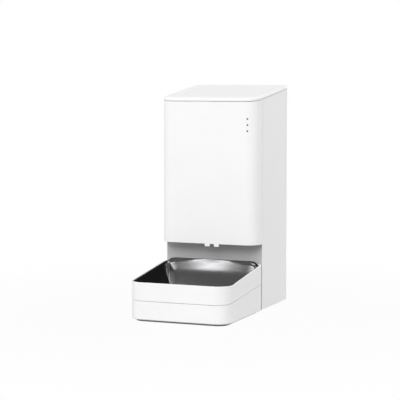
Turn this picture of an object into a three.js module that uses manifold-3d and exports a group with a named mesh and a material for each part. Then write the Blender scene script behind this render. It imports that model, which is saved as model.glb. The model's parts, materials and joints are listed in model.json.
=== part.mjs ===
// A smart pet feeder: a tall white food tower with a sloped lid, and a tray with a steel bowl docked to its foot.
// Millimetres, +Z up, X across, +Y to the back. The origin is on the floor, under the middle of the outline.
import * as THREE from "three";
import { mergeVertices } from "three/addons/utils/BufferGeometryUtils.js";
import Module from "manifold-3d";

const wasm = await Module();
wasm.setup();

// Driving sizes of the whole feeder.
const width = 160;
const length = 275;
const towerDepth = 124;
const dockGap = 1;
const coverOverhang = 26.5;
const coverBottomHeight = 106;
const lidSeamHeight = 325.5; // at the tower's front face
const lidSlopeShare = 0.125; // rise per unit of depth
const lidThickness = 6;
const shellWall = 2.5;
const towerFloorGap = 4; // from the floor up to the tower's shell
const towerFrontRadius = 20;
const towerBackRadius = 9;

// Clearances, shared by all pieces.
const seatGap = 0.3; // between pieces that seat on each other
const runGap = 0.5; // between pieces that move past each other
const seamGap = 0.6; // visible parting lines
const overrun = 6; // how far a cutting tool runs past what it cuts
const weld = 1e-4; // corners nearer than this are one

const curveSteps = 6; // facets in a quarter turn
const roundSteps = 4 * curveSteps;

// Places along Y that the pieces share.
const frontY = -length / 2;
const rearY = length / 2;
const dockY = rearY - towerDepth;
const trayRearY = dockY - dockGap;
const coverFrontY = dockY - coverOverhang;
const halfWidth = width / 2;

const feeder = new THREE.Group();

function paint(color, roughness, metalness = 0) {
  return new THREE.MeshStandardMaterial({ color, roughness, metalness });
}

// Turns closed geometry into a solid whose faces point out.
function solid(geometry) {
  const bare = new THREE.BufferGeometry();
  bare.setAttribute("position", geometry.getAttribute("position"));
  if (geometry.getIndex()) bare.setIndex(geometry.getIndex());
  const merged = mergeVertices(bare, weld);
  const corners = merged.getIndex().array;
  const triangles = [];
  for (let i = 0; i < corners.length; i += 3) {
    const [a, b, c] = corners.slice(i, i + 3);
    if (a !== b && b !== c && c !== a) triangles.push(a, b, c);
  }
  const vertProperties = new Float32Array(merged.getAttribute("position").array);
  const make = (list) =>
    new wasm.Manifold(new wasm.Mesh({ numProp: 3, vertProperties, triVerts: new Uint32Array(list) }));
  const made = make(triangles);
  return made.volume() > 0 ? made : make(triangles.reverse());
}

const join = (first, ...others) => others.reduce((whole, next) => whole.add(next), first);
const cut = (first, ...tools) => tools.reduce((whole, tool) => whole.subtract(tool), first);

// A solid as a named mesh, placed in the feeder.
function piece(name, body, material, place = [0, 0, 0]) {
  const source = body.getMesh();
  const corners = new Float32Array(source.numVert * 3);
  for (let i = 0; i < source.numVert; i++) {
    corners.set(source.vertProperties.subarray(i * source.numProp, i * source.numProp + 3), i * 3);
  }
  const geometry = new THREE.BufferGeometry();
  geometry.setAttribute("position", new THREE.BufferAttribute(corners, 3));
  geometry.setIndex(new THREE.BufferAttribute(new Uint32Array(source.triVerts), 1));
  geometry.computeVertexNormals();
  const mesh = new THREE.Mesh(geometry, material);
  mesh.name = name;
  mesh.position.set(...place);
  feeder.add(mesh);
  return mesh;
}

// A rectangle in plan. Its front (low y) and back corners have radii of their own.
function sides(left, right, front, back, frontRadius, backRadius = frontRadius) {
  return { left, right, front, back, frontRadius, backRadius };
}

function inset(from, by) {
  return sides(
    from.left + by,
    from.right - by,
    from.front + by,
    from.back - by,
    Math.max(from.frontRadius - by, from.frontRadius / 4),
    Math.max(from.backRadius - by, from.backRadius / 4),
  );
}

// The points round a plan, each at a height that may change with y. Every plan gives the same count of points.
function ring(around, heightAt, steps = curveSteps) {
  const { left, right, front, back, frontRadius, backRadius } = around;
  const points = [];
  const add = (x, y) => points.push(new THREE.Vector3(x, y, heightAt(y)));
  const corner = (x, y, radius, from) => {
    for (let i = 0; i <= steps; i++) {
      const angle = from + ((Math.PI / 2) * i) / steps;
      add(x + radius * Math.cos(angle), y + radius * Math.sin(angle));
    }
  };
  corner(right - frontRadius, front + frontRadius, frontRadius, -Math.PI / 2);
  corner(right - backRadius, back - backRadius, backRadius, 0);
  corner(left + backRadius, back - backRadius, backRadius, Math.PI / 2);
  corner(left + frontRadius, front + frontRadius, frontRadius, Math.PI);
  return points;
}

// Rings of matching points joined into one skin, capped at both ends, or closed on itself as a tube wall is.
function loft(rings, closed = false) {
  const count = rings[0].length;
  const index = [];
  const spans = closed ? rings.length : rings.length - 1;
  for (let i = 0; i < spans; i++) {
    const here = i * count;
    const there = ((i + 1) % rings.length) * count;
    for (let j = 0; j < count; j++) {
      const next = (j + 1) % count;
      index.push(here + j, here + next, there + next, here + j, there + next, there + j);
    }
  }
  const cap = (points, start, flip) => {
    const outline = points.map((point) => new THREE.Vector2(point.x, point.y));
    for (const [a, b, c] of THREE.ShapeUtils.triangulateShape(outline, [])) {
      index.push(start + a, start + (flip ? c : b), start + (flip ? b : c));
    }
  };
  if (!closed) {
    cap(rings[0], 0, true);
    cap(rings[rings.length - 1], (rings.length - 1) * count, false);
  }
  const geometry = new THREE.BufferGeometry();
  const positions = rings.flat().flatMap((point) => point.toArray());
  geometry.setAttribute("position", new THREE.Float32BufferAttribute(positions, 3));
  geometry.setIndex(index);
  return solid(geometry);
}

function planShape(around) {
  const outline = ring(around, () => 0).map((point) => new THREE.Vector2(point.x, point.y));
  return new THREE.Shape(outline.filter((point, i) => i === 0 || point.distanceTo(outline[i - 1]) > weld));
}

function prism(shape, low, high) {
  const geometry = new THREE.ExtrudeGeometry(shape, { depth: high - low, bevelEnabled: false });
  return solid(geometry.translate(0, 0, low));
}

const block = (around, low, high) => prism(planShape(around), low, high);

// A wall that follows a plan, from one inset to a deeper one.
const wall = (around, outer, inner, low, high) =>
  cut(block(inset(around, outer), low, high), block(inset(around, inner), low - overrun, high + overrun));

function box(left, right, front, back, low, high) {
  const geometry = new THREE.BoxGeometry(right - left, back - front, high - low);
  return solid(geometry.translate((left + right) / 2, (front + back) / 2, (low + high) / 2));
}

// An upright round bar, or a cone frustum where the top radius differs.
function bar(radius, x, y, low, high, topRadius = radius, steps = roundSteps) {
  const geometry = new THREE.CylinderGeometry(topRadius, radius, high - low, steps);
  return solid(geometry.rotateX(Math.PI / 2).translate(x, y, (low + high) / 2));
}

// A round bar along Y.
function rod(radius, x, z, near, far, steps = roundSteps / 2) {
  const geometry = new THREE.CylinderGeometry(radius, radius, far - near, steps);
  return solid(geometry.translate(x, (near + far) / 2, z));
}

// An outline of (x, z) points run along Y.
function frontSolid(points, near, far) {
  const shape = new THREE.Shape(points.map(([x, z]) => new THREE.Vector2(x, z)));
  const geometry = new THREE.ExtrudeGeometry(shape, { depth: far - near, bevelEnabled: false });
  return solid(geometry.rotateX(Math.PI / 2).translate(0, far, 0));
}

// All that lies above a height that changes with y, over the whole feeder.
function above(heightAt, places = []) {
  const from = frontY - overrun;
  const to = rearY + overrun;
  const top = 2 * heightAt(to);
  const edge = [from, ...places, to].map((y) => new THREE.Vector2(y, heightAt(y)));
  const shape = new THREE.Shape([...edge, new THREE.Vector2(to, top), new THREE.Vector2(from, top)]);
  const geometry = new THREE.ExtrudeGeometry(shape, { depth: 2 * width, bevelEnabled: false });
  return solid(geometry.rotateZ(Math.PI / 2).rotateY(Math.PI / 2).translate(-width, 0, 0));
}

const left = -1;
const right = 1;
const bothSides = [left, right];
const sideName = (side) => (side < 0 ? "left" : "right");

// Tower plan and lid seam.
const towerSides = sides(-halfWidth, halfWidth, coverFrontY, rearY, towerFrontRadius, towerBackRadius);
const seamHeight = (y) => lidSeamHeight + lidSlopeShare * (y - coverFrontY);
const towerTop = seamHeight(rearY);

// The ledge inside the tower's mouth that the food bin hangs on.
const ledge = { drop: 8, width: 2.4, thickness: 2 };

function ledgeRing() {
  const low = (y) => seamHeight(y) - ledge.drop - ledge.thickness;
  const high = (y) => seamHeight(y) - ledge.drop;
  const outer = inset(towerSides, shellWall / 2);
  const inner = inset(towerSides, shellWall + ledge.width);
  return loft([ring(outer, low), ring(inner, low), ring(inner, high), ring(outer, high)], true);
}

const towerShell = cut(
  join(wall(towerSides, 0, shellWall, towerFloorGap, towerTop), ledgeRing()),
  above(seamHeight),
);
const ahead = (y, low) => box(-width, width, coverFrontY - overrun, y, low, towerTop + overrun);
const behind = (y, low) => box(-width, width, y, rearY + overrun, low, towerTop + overrun);

// The control board on the rear wall. The motor stands clear in front of it, and the gears set where the wheel is.
const rearInner = rearY - shellWall;
const baseBoss = { radius: 4.4, sink: 0.3, height: 26 };
baseBoss.inset = shellWall + baseBoss.radius - baseBoss.sink;
baseBoss.rearInset = towerBackRadius - (towerBackRadius - baseBoss.inset) * Math.SQRT1_2; // into the rounded corner
const controlBoard = { fromBoss: 10.3, rise: 5.2, height: 43, thickness: 1.6, chip: 1.6 };
controlBoard.halfWidth = halfWidth - baseBoss.rearInset - baseBoss.radius - controlBoard.fromBoss;
const feedButton = { fromEdge: 16, z: 44, radius: 7, rimWidth: 1.2, rim: 0.5, sink: 0.6, travel: 1.5 };
const feedSwitch = { halfWidth: 3, depth: 1.5 };
controlBoard.fromWall = 3 * seatGap + feedSwitch.depth + feedButton.travel + feedButton.rim;
const boardBack = rearInner - controlBoard.fromWall;
const motor = { radius: 18, length: 50, shaftRadius: 1.5, neckRadius: 4, neckLength: 1, shaftReach: 9 };
const gearModule = 1.25;
const wheelTeeth = 32;
const idlerTeeth = 20;
const pinionTeeth = 10;
const pitchRadius = (teeth) => (gearModule * teeth) / 2;
const motorY = boardBack - controlBoard.thickness - controlBoard.chip - runGap - motor.radius;
const idlerY = motorY - pitchRadius(idlerTeeth) - pitchRadius(pinionTeeth);
const wheelY = idlerY - pitchRadius(wheelTeeth) - pitchRadius(idlerTeeth);

// Dosing wheel and its chamber, which set the places of the spout and the bin's neck.
const wheel = { tipGap: 2, hubRadius: 9, bladeHeight: 26, hubRise: 3, bladeRoot: 4.4, bladeTip: 2.2 };
const wheelBlades = 6;
const chamber = { rise: 32, floorThickness: 3, radius: 50, wall: 2.2, headRoom: 13 };
chamber.height = chamber.floorThickness + 2 * runGap + wheel.bladeHeight + chamber.headRoom;
wheel.radius = chamber.radius - wheel.tipGap;
wheel.hubHeight = wheel.bladeHeight + wheel.hubRise;
chamber.floor = coverBottomHeight + chamber.rise;
const chamberFloorTop = chamber.floor + chamber.floorThickness;
const chamberTop = chamber.floor + chamber.height;
const caseFloor = { drop: 24, thickness: 2, wall: 2, room: 1.5 };
const caseReach = (teeth) => pitchRadius(teeth) + gearModule + caseFloor.room;
const outlet = { halfWidth: 20, depth: 19, radius: 3 };
const ear = { halfWidth: 11, screwInset: 4.2, screwSpread: 6 };
ear.screwReach = (chamber.radius + chamber.wall + halfWidth - shellWall) / 2; // midway to the tower's side
ear.reach = ear.screwReach + ear.screwInset;
const shaftRadius = 4;

// Spout: from the chamber's outlet forward and down, out under the front cover.
const spout = { wall: 1.8, halfWidth: 12, depth: 10.3, fromDock: 3.2, drop: 1.6, radius: 2, bendRise: 10 };
spout.back = dockY - spout.fromDock;
spout.front = spout.back - spout.depth;
const spoutFlange = { reach: 1.4, thickness: 2 };
outlet.near = caseReach(wheelTeeth) + caseFloor.wall + seatGap + spoutFlange.reach + spout.wall;
outlet.far = outlet.near + outlet.depth;
const spoutBend = coverBottomHeight + spout.bendRise;

const smallSteps = 10; // facets on screws and small bores

const screw = { radius: 1.5, headRadius: 2.9, headHeight: 1.6, length: 11 };

const whiteShell = () => paint(0xf1f1f0, 0.42);
const whiteInner = () => paint(0xe6e6e4, 0.55);

// Tower shells.

const lights = { fromSide: 15.7, drop: 26.2, pitch: 9.2, radius: 1.1, sink: 0.2, boardDepth: 8.8 };
lights.x = halfWidth - lights.fromSide;
lights.boardFront = coverFrontY + lights.boardDepth;
const lightNames = ["top", "middle", "bottom"];
const lightHeight = (i) => lidSeamHeight - lights.drop - i * lights.pitch;
const lightBoard = { inward: 7, fromSide: 8.7, thickness: 1.2, margin: 3.4 };
const lightBoss = { radius: 2.2, offset: 7 };

const lap = { length: 5, thickness: 1.5 };
const tab = { middle: 6.6, width: 8.2, gap: 7, drop: 4 }; // a pair that hangs from the cover's front edge
const spoutHole = inset(
  sides(-spout.halfWidth, spout.halfWidth, spout.front, spout.back, spout.radius),
  -spout.wall - seatGap,
);

function frontCover() {
  const skin = towerShell.intersect(ahead(dockY - seamGap, coverBottomHeight));
  const floor = block(
    sides(
      -halfWidth + shellWall / 2,
      halfWidth - shellWall / 2,
      coverFrontY + shellWall / 2,
      dockY - seamGap,
      towerFrontRadius - shellWall / 2,
      seatGap,
    ),
    coverBottomHeight,
    coverBottomHeight + shellWall,
  );
  const bosses = [lightHeight(0) + lightBoss.offset, lightHeight(lightNames.length - 1) - lightBoss.offset].map(
    (z) => rod(lightBoss.radius, lights.x, z, coverFrontY + shellWall / 2, lights.boardFront - seatGap),
  );
  const lightHoles = lightNames.map((unused, i) =>
    rod(lights.radius + seatGap, lights.x, lightHeight(i), coverFrontY - overrun, lights.boardFront, 12),
  );
  const spoutWay = box(
    spoutHole.left,
    spoutHole.right,
    spoutHole.front,
    dockY,
    coverBottomHeight - overrun,
    coverBottomHeight + overrun,
  );
  const tabs = bothSides.map((side) => {
    const near = tab.middle + side * (tab.gap / 2);
    const far = tab.middle + side * (tab.gap / 2 + tab.width);
    return box(
      Math.min(near, far),
      Math.max(near, far),
      coverFrontY,
      coverFrontY + shellWall,
      coverBottomHeight - tab.drop,
      coverBottomHeight + shellWall,
    );
  });
  return cut(join(skin, floor, ...bosses, ...tabs), spoutWay, ...lightHoles);
}

piece("front_cover", frontCover(), whiteShell());

// Rear wall: the feed button, the power socket and the lid's release button.
feedButton.x = -controlBoard.halfWidth + feedButton.fromEdge;
feedButton.rimRadius = feedButton.radius + feedButton.rimWidth;
const socket = { fromEdge: 16, z: 36, radius: 4.6, wall: 1.5, halfWidth: 5.5, pinRadius: 0.9, floor: 1.2, sink: 0.5 };
socket.x = controlBoard.halfWidth - socket.fromEdge;
socket.boreRadius = socket.radius - socket.wall;
const release = { halfWidth: 12, height: 10, ledgeRoom: 1.4, rim: 1.6, rimThickness: 1.5, sink: 0.6, travel: 2 };
const releaseLow = towerTop - ledge.drop - ledge.thickness - release.ledgeRoom - release.rim - release.height;

const boardBoss = { radius: 2.6, margin: 4.5 };

const bossPlaces = bothSides.flatMap((side) => [
  [side * (halfWidth - baseBoss.inset), dockY + baseBoss.inset, `front_${sideName(side)}`],
  [side * (halfWidth - baseBoss.rearInset), rearY - baseBoss.rearInset, `rear_${sideName(side)}`],
]);

const basePlate = { rise: 2.3, thickness: 2.5, frontRadius: 1 };
const baseBottom = towerFloorGap + basePlate.rise;
const baseTop = baseBottom + basePlate.thickness;
controlBoard.low = baseTop + controlBoard.rise;
controlBoard.high = controlBoard.low + controlBoard.height;

const magnet = { radius: 6, thickness: 3, fromSide: 28, z: 26, cup: 1.4 };
magnet.x = halfWidth - magnet.fromSide;
const bracket = { height: 14, top: chamber.floor - seatGap };

function mainHousing() {
  const skin = towerShell.intersect(behind(dockY, towerFloorGap));
  const recess = box(
    -halfWidth + shellWall / 2,
    halfWidth - shellWall / 2,
    dockY,
    dockY + shellWall,
    towerFloorGap,
    coverBottomHeight + shellWall,
  );
  const lapLow = coverBottomHeight + 2 * shellWall;
  const lapHigh = seamHeight(dockY) - ledge.drop - ledge.thickness - 2 * seamGap;
  const lapBox = (from) => box(-width, width, from, dockY + lap.length, lapLow, lapHigh);
  const lapInner = shellWall + seatGap + lap.thickness;
  const tongue = join(
    wall(towerSides, shellWall + seatGap, lapInner, lapLow, lapHigh).intersect(lapBox(dockY - lap.length)),
    wall(towerSides, shellWall / 2, lapInner, lapLow, lapHigh).intersect(lapBox(dockY + seatGap)),
  );
  const brackets = bothSides.map((side) => {
    const root = side * (halfWidth - shellWall / 2);
    const tip = side * (ear.screwReach - 2 * screw.headRadius);
    const points = [
      [root, bracket.top - 2 * bracket.height],
      [tip, bracket.top - bracket.height],
      [tip, bracket.top],
      [root, bracket.top],
    ];
    const pilots = bothSides.map((end) =>
      bar(
        screw.radius + seatGap,
        side * ear.screwReach,
        wheelY + end * ear.screwSpread,
        bracket.top - screw.length - screw.radius,
        bracket.top + overrun,
        screw.radius + seatGap,
        smallSteps,
      ),
    );
    return cut(frontSolid(points, wheelY - ear.halfWidth, wheelY + ear.halfWidth), ...pilots);
  });
  const posts = bossPlaces.map(([x, y]) =>
    cut(
      bar(baseBoss.radius, x, y, baseTop + seatGap, baseTop + baseBoss.height, baseBoss.radius, 16),
      bar(screw.radius + seatGap, x, y, baseBottom, baseTop + screw.length, screw.radius + seatGap, smallSteps),
    ),
  );
  const boardBosses = bothSides.flatMap((side) =>
    [controlBoard.low + boardBoss.margin, controlBoard.high - boardBoss.margin].map((z) =>
      rod(
        boardBoss.radius,
        side * (controlBoard.halfWidth - boardBoss.margin),
        z,
        boardBack + seatGap,
        rearInner + shellWall / 2,
        12,
      ),
    ),
  );
  const cups = bothSides.map((side) =>
    rod(
      magnet.radius + magnet.cup,
      side * magnet.x,
      magnet.z,
      dockY + shellWall / 2,
      dockY + shellWall + magnet.thickness,
    ),
  );
  const pockets = bothSides.map((side) =>
    rod(magnet.radius + seatGap, side * magnet.x, magnet.z, dockY + shellWall / 2, dockY + 2 * shellWall + overrun),
  );
  const window = box(
    -release.halfWidth,
    release.halfWidth,
    rearInner - overrun / 2,
    rearY + overrun,
    releaseLow,
    releaseLow + release.height,
  );
  const buttonHole = rod(feedButton.radius + runGap, feedButton.x, feedButton.z, rearInner - seatGap, rearY + overrun);
  const socketHole = rod(socket.radius + seatGap, socket.x, socket.z, rearInner - seatGap, rearY + overrun);
  return cut(
    join(skin, recess, tongue, ...brackets, ...posts, ...boardBosses, ...cups),
    ...pockets,
    window,
    buttonHole,
    socketHole,
  );
}

piece("main_housing", mainHousing(), whiteShell());

for (const side of bothSides) {
  const near = dockY + shellWall / 2 + seatGap;
  const disc = rod(magnet.radius, side * magnet.x, magnet.z, near, near + magnet.thickness);
  piece(`dock_magnet_${sideName(side)}`, disc, paint(0x9c9c9e, 0.3, 1));
}

// Base plate with the battery bay, its door, cells and contacts.

const cell = { radius: 17.1, spacing: 0.8, nubRadius: 4.5, nub: 1.5 };
cell.pitch = 2 * cell.radius + cell.spacing;
const cellNames = ["left", "middle", "right"];
const bay = { wall: 2, endRoom: 3, side: 1.2, behind: 7.1 };
const door = { thickness: 2, margin: 2.6, radius: 2, travel: 9, gripPitch: 5, gripDepth: 0.6, gripWidth: 1.7 };
const foot = { radius: 6.6, fromSide: 24, room: 0.6, taper: 1 };
foot.fromWall = shellWall + seatGap + foot.room + foot.radius;
const bayHalf = cell.pitch + cell.radius + bay.side;
const bayFront = dockY + foot.fromWall + foot.radius + runGap + door.margin;
const bayBack = rearY - foot.fromWall - foot.radius - bay.behind - door.travel - door.margin;
const cellFront = bayFront + bay.endRoom;
cell.length = bayBack - bay.endRoom - cell.nub - cellFront; // a D cell's
const cellZ = baseBottom + seatGap + cell.radius;
const bayRoof = cellZ + cell.radius + seatGap;
const doorGrips = 5;
const rail = { thickness: 1.6, lip: 3.4, lipThickness: 0.8 };

const baseSides = sides(
  -halfWidth + shellWall + seatGap,
  halfWidth - shellWall - seatGap,
  dockY + shellWall + seatGap,
  rearInner - seatGap,
  basePlate.frontRadius,
  towerBackRadius - shellWall,
);
const doorSides = sides(-bayHalf - door.margin, bayHalf + door.margin, bayFront - door.margin, bayBack + door.margin, door.radius);

function basePlateSolid() {
  const plate = block(baseSides, baseBottom, baseTop);
  const outer = box(-bayHalf - bay.wall, bayHalf + bay.wall, bayFront - bay.wall, bayBack + bay.wall, baseBottom, bayRoof + bay.wall);
  const inner = box(-bayHalf, bayHalf, bayFront, bayBack, baseBottom - overrun, bayRoof);
  const railTop = baseBottom + basePlate.thickness / 2;
  const railLow = baseBottom - 2 * seatGap - door.thickness - rail.lipThickness;
  const rails = bothSides.map((side) => {
    const inside = side * (doorSides.right + runGap);
    const outside = side * (doorSides.right + runGap + rail.thickness);
    const lip = side * (doorSides.right + runGap - rail.lip);
    const points = [
      [inside, railTop],
      [inside, railLow + rail.lipThickness],
      [lip, railLow + rail.lipThickness],
      [lip, railLow],
      [outside, railLow],
      [outside, railTop],
    ];
    return frontSolid(points, bayFront, bayBack + door.travel);
  });
  const screwHoles = bossPlaces.flatMap(([x, y]) => [
    bar(screw.radius + seatGap, x, y, baseBottom - overrun, baseTop + overrun, screw.radius + seatGap, smallSteps),
    bar(
      screw.headRadius + seatGap,
      x,
      y,
      baseBottom - overrun,
      baseBottom + screw.headHeight,
      screw.headRadius + seatGap,
      smallSteps,
    ),
  ]);
  return cut(join(plate, outer, ...rails), inner, ...screwHoles);
}

piece("base_plate", basePlateSolid(), whiteInner());

function doorSolid() {
  const high = baseBottom - seatGap;
  const low = high - door.thickness;
  const plate = block(doorSides, low, high);
  const grooves = Array.from({ length: doorGrips }, (unused, i) => {
    const y = doorSides.back - door.gripPitch * (i + 1);
    return box(-cell.radius, cell.radius, y, y + door.gripWidth, low - overrun, low + door.gripDepth);
  });
  return cut(plate, ...grooves);
}

piece("battery_door", doorSolid(), whiteInner());

cellNames.forEach((name, i) => {
  const x = (i - 1) * cell.pitch;
  const body = join(
    rod(cell.radius, x, cellZ, cellFront, cellFront + cell.length, 24),
    rod(cell.nubRadius, x, cellZ, cellFront + cell.length / 2, cellFront + cell.length + cell.nub),
  );
  piece(`battery_cell_${name}`, body, paint(0x74797e, 0.4, 0.7));
});

const contact = { thickness: 0.8, halfHeight: 10, padRadius: 6 };

for (const [name, near, way] of [
  ["front", bayFront + seatGap, 1],
  ["rear", bayBack - seatGap - contact.thickness, -1],
]) {
  const plate = box(
    -cell.pitch - contact.padRadius,
    cell.pitch + contact.padRadius,
    near,
    near + contact.thickness,
    cellZ - contact.halfHeight,
    cellZ + contact.halfHeight,
  );
  const tip = way > 0 ? cellFront - seatGap : cellFront + cell.length + cell.nub + seatGap;
  const pads = cellNames.map((unused, i) => {
    const from = way > 0 ? near : tip;
    const to = way > 0 ? tip : near + contact.thickness;
    return rod(contact.padRadius, (i - 1) * cell.pitch, cellZ, from, to);
  });
  piece(`battery_contact_${name}`, join(plate, ...pads), paint(0xb9b9b6, 0.3, 1));
}

for (const [x, y, name] of bossPlaces) {
  const low = baseBottom + screw.headHeight / 4;
  const body = join(
    bar(screw.headRadius, x, y, low, baseBottom + screw.headHeight - seatGap, screw.headRadius, smallSteps),
    bar(screw.radius, x, y, low, baseBottom + screw.length, screw.radius, smallSteps),
  );
  piece(`base_screw_${name}`, body, paint(0xa8a8a6, 0.35, 1));
}

for (const side of bothSides) {
  for (const [end, y] of [
    ["front", dockY + foot.fromWall],
    ["rear", rearY - foot.fromWall],
  ]) {
    const pad = bar(foot.radius - foot.taper, side * (halfWidth - foot.fromSide), y, 0, baseBottom - seatGap, foot.radius, 20);
    piece(`tower_foot_${end}_${sideName(side)}`, pad, paint(0x55565a, 0.85));
  }
}

// Food bin: a funnel hung on the tower's ledge, with a neck that reaches into the chamber.

const bin = {
  wall: 1.8,
  lightRoom: 2,
  buttonRoom: 1.7,
  sideRoom: 6,
  frontRadius: 16,
  backRadius: 12,
  funnel: 55,
  neckLength: 8,
  flangeThickness: 1.8,
  guardThickness: 1.8,
  guardSetback: 13,
};
bin.shoulder = chamberTop + bin.funnel;
const binSides = sides(
  -halfWidth + bin.sideRoom,
  halfWidth - bin.sideRoom,
  lights.boardFront + lightBoard.thickness + bin.lightRoom,
  rearInner - seatGap - release.rimThickness - release.travel - bin.buttonRoom,
  bin.frontRadius,
  bin.backRadius,
);
const flangeLow = (y) => seamHeight(y) - ledge.drop + seatGap;
const flangeHigh = (y) => flangeLow(y) + bin.flangeThickness;
const round = (radius) => sides(-radius, radius, wheelY - radius, wheelY + radius, radius);

function foodHopper() {
  const neckRadius = chamber.radius - seatGap;
  const seat = chamberTop + seatGap;
  const neckLow = seat - bin.neckLength;
  const collar = chamber.radius + chamber.wall;
  const level = (height) => () => height;
  const skin = loft(
    [
      ring(round(neckRadius), level(neckLow)),
      ring(round(neckRadius), level(seat)),
      ring(round(collar), level(seat)),
      ring(binSides, level(bin.shoulder)),
      ring(binSides, flangeLow),
      ring(inset(towerSides, shellWall + seatGap), flangeLow),
      ring(inset(towerSides, shellWall + seatGap), flangeHigh),
      ring(inset(binSides, bin.wall), flangeHigh),
      ring(inset(binSides, bin.wall), level(bin.shoulder)),
      ring(round(neckRadius - bin.wall), level(seat + bin.wall)),
      ring(round(neckRadius - bin.wall), level(neckLow)),
    ],
    true,
  );
  const guard = block(round(neckRadius - bin.wall / 2), neckLow, neckLow + bin.guardThickness).intersect(
    box(-width, width, frontY, wheelY - bin.guardSetback, neckLow - overrun, neckLow + overrun),
  );
  return join(skin, guard);
}

piece("food_hopper", foodHopper(), paint(0xdcdedd, 0.35));

// Chamber, screwed to the housing's brackets by two ears.

function meteringChamber() {
  const floor = bar(chamber.radius + chamber.wall, 0, wheelY, chamber.floor, chamberFloorTop);
  const tube = cut(
    bar(chamber.radius + chamber.wall, 0, wheelY, chamber.floor, chamberTop),
    bar(chamber.radius, 0, wheelY, chamberFloorTop, chamberTop + overrun),
  );
  const ears = box(
    -ear.reach,
    ear.reach,
    wheelY - ear.halfWidth,
    wheelY + ear.halfWidth,
    chamber.floor,
    chamberFloorTop,
  );
  const holes = bothSides.flatMap((side) =>
    bothSides.map((end) =>
      bar(
        screw.radius + seatGap,
        side * ear.screwReach,
        wheelY + end * ear.screwSpread,
        chamber.floor - overrun,
        chamberFloorTop + overrun,
        undefined,
        smallSteps,
      ),
    ),
  );
  const way = block(
    sides(-outlet.halfWidth, outlet.halfWidth, wheelY - outlet.far, wheelY - outlet.near, outlet.radius),
    chamber.floor - overrun,
    chamberFloorTop + overrun,
  );
  const bore = bar(shaftRadius + runGap, 0, wheelY, chamber.floor - overrun, chamberFloorTop + overrun);
  return cut(join(floor, tube, ears), way, bore, ...holes);
}

piece("metering_chamber", meteringChamber(), whiteInner());

for (const side of bothSides) {
  for (const end of bothSides) {
    const x = side * ear.screwReach;
    const y = wheelY + end * ear.screwSpread;
    const top = chamberFloorTop + seatGap;
    const body = join(
      bar(screw.headRadius, x, y, top, top + screw.headHeight, undefined, smallSteps),
      bar(screw.radius, x, y, top + screw.headHeight / 2 - screw.length, top + screw.headHeight / 2, undefined, smallSteps),
    );
    piece(`chamber_screw_${end < 0 ? "front" : "rear"}_${sideName(side)}`, body, paint(0xa8a8a6, 0.35, 1));
  }
}

// Dosing wheel: flexible blades round a hub, on a shaft from the drive below.

const bladeLow = chamberFloorTop + 2 * runGap;
const socketShare = 0.7; // of the blades' height
const stirrer = { coneHeight: 15, coneTop: 4, armLow: 5, armHeight: 4, armHalf: 2, fromWall: 14, finger: 15 };
stirrer.armReach = chamber.radius - stirrer.fromWall;

function dosingWheel() {
  const hub = bar(wheel.hubRadius, 0, 0, bladeLow, bladeLow + wheel.hubHeight);
  const blades = Array.from({ length: wheelBlades }, (unused, i) => {
    const points = [
      [wheel.hubRadius / 2, -wheel.bladeRoot / 2],
      [wheel.radius, -wheel.bladeTip / 2],
      [wheel.radius, wheel.bladeTip / 2],
      [wheel.hubRadius / 2, wheel.bladeRoot / 2],
    ].map(([x, y]) => new THREE.Vector2(x, y));
    const geometry = new THREE.ExtrudeGeometry(new THREE.Shape(points), {
      depth: wheel.bladeHeight,
      bevelEnabled: false,
    });
    return solid(geometry.translate(0, 0, bladeLow).rotateZ((2 * Math.PI * i) / wheelBlades));
  });
  const socketHigh = bladeLow + wheel.bladeHeight * socketShare;
  return cut(join(hub, ...blades), bar(shaftRadius + seatGap, 0, 0, bladeLow - overrun, socketHigh));
}

piece("dosing_wheel", dosingWheel(), paint(0x8f9597, 0.75), [0, wheelY, 0]);

const hubTop = bladeLow + wheel.hubHeight;

function stirrerSolid() {
  const low = hubTop + seatGap;
  const cone = bar(wheel.hubRadius, 0, 0, low, low + stirrer.coneHeight, stirrer.coneTop);
  const arm = box(
    0,
    stirrer.armReach,
    -stirrer.armHalf,
    stirrer.armHalf,
    low + stirrer.armLow,
    low + stirrer.armLow + stirrer.armHeight,
  );
  const finger = bar(
    stirrer.armHalf,
    stirrer.armReach,
    0,
    low + stirrer.armLow,
    low + stirrer.armLow + stirrer.finger,
    undefined,
    smallSteps,
  );
  return join(cone, arm, finger);
}

piece("stirrer", stirrerSolid(), paint(0xe6e6e4, 0.5), [0, wheelY, 0]);

// Drive: a pinion on the motor, an idler on a pin, and the gear on the wheel's shaft.

const gear = { rise: 6, thickness: 6, addendumShare: 0.8, dedendumShare: 1.15, backlashShare: 0.1 };
caseFloor.low = chamber.floor - caseFloor.drop;
const caseFloorTop = caseFloor.low + caseFloor.thickness;
gear.low = caseFloorTop + gear.rise;
const pin = { radius: 2 };

// Straight-sided teeth. A tooth stands on the angle given, and flankShare is its half width at the pitch circle.
function gearSolid(teeth, boreRadius, toothAngle) {
  const pitch = pitchRadius(teeth);
  const tip = pitch + gearModule * gear.addendumShare;
  const root = pitch - gearModule * gear.dedendumShare;
  const step = (2 * Math.PI) / teeth;
  const flankShare = 0.25 - gear.backlashShare / 2;
  const tipShare = 0.55 * flankShare;
  const rootShare = 1.65 * flankShare;
  const points = [];
  for (let i = 0; i < teeth; i++) {
    const middle = toothAngle + i * step;
    for (const [radius, share] of [
      [root, -rootShare],
      [tip, -tipShare],
      [tip, tipShare],
      [root, rootShare],
    ]) {
      const angle = middle + share * step;
      points.push(new THREE.Vector2(radius * Math.cos(angle), radius * Math.sin(angle)));
    }
  }
  const body = prism(new THREE.Shape(points), gear.low, gear.low + gear.thickness);
  return cut(body, bar(boreRadius, 0, 0, gear.low - overrun, gear.low + gear.thickness + overrun));
}

piece("drive_gear", gearSolid(wheelTeeth, shaftRadius + seatGap, Math.PI / 2), paint(0xded9cb, 0.5), [0, wheelY, 0]);

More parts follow.
